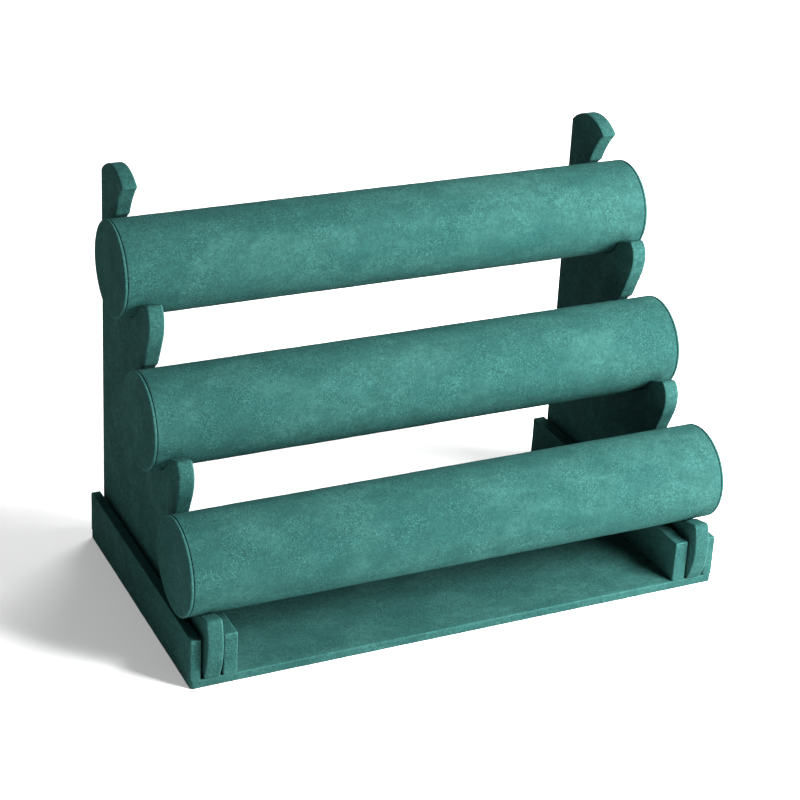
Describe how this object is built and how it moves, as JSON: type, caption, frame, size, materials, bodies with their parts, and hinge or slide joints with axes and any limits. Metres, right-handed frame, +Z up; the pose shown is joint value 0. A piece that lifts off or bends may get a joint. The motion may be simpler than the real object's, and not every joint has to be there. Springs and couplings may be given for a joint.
{
  "type": "bracelet display stand",
  "caption": "Tiered suede-covered counter stand for watches and bracelets: round bars lie in the cradles of stepped side brackets on a railed base.",
  "frame": {"origin": "on the ground below the middle of the stand's outer box", "axes": "+Z up, the front with the lowest bar faces -Y, +X runs along the bars to the viewer's right"},
  "size_m": [0.326, 0.1794, 0.241],
  "materials": {
    "suede": "teal microfibre suede with a short soft nap",
    "fibreboard": "raw medium density fibreboard",
    "card": "plain grey-brown card",
    "liner": "thin dark felt backing sheet"
  },
  "bodies": {
    "root": {"base_board": "fibreboard", "base_cover": "suede", "base_liner": "liner", "rail_left_outer_core": "fibreboard", "rail_left_outer_cover": "suede", "rail_left_inner_core": "fibreboard", "rail_left_inner_cover": "suede", "rail_right_outer_core": "fibreboard", "rail_right_outer_cover": "suede", "rail_right_inner_core": "fibreboard", "rail_right_inner_cover": "suede", "bracket_left_board": "fibreboard", "bracket_left_cover": "suede", "bracket_right_board": "fibreboard", "bracket_right_cover": "suede", "lower_bar_tube": "card", "lower_bar_sleeve": "suede", "lower_bar_left_disc": "card", "lower_bar_left_disc_cover": "suede", "lower_bar_right_disc": "card", "lower_bar_right_disc_cover": "suede", "middle_bar_tube": "card", "middle_bar_sleeve": "suede", "middle_bar_left_disc": "card", "middle_bar_left_disc_cover": "suede", "middle_bar_right_disc": "card", "middle_bar_right_disc_cover": "suede", "upper_bar_tube": "card", "upper_bar_sleeve": "suede", "upper_bar_left_disc": "card", "upper_bar_left_disc_cover": "suede", "upper_bar_right_disc": "card", "upper_bar_right_disc_cover": "suede"}
  },
  "joints": []
}
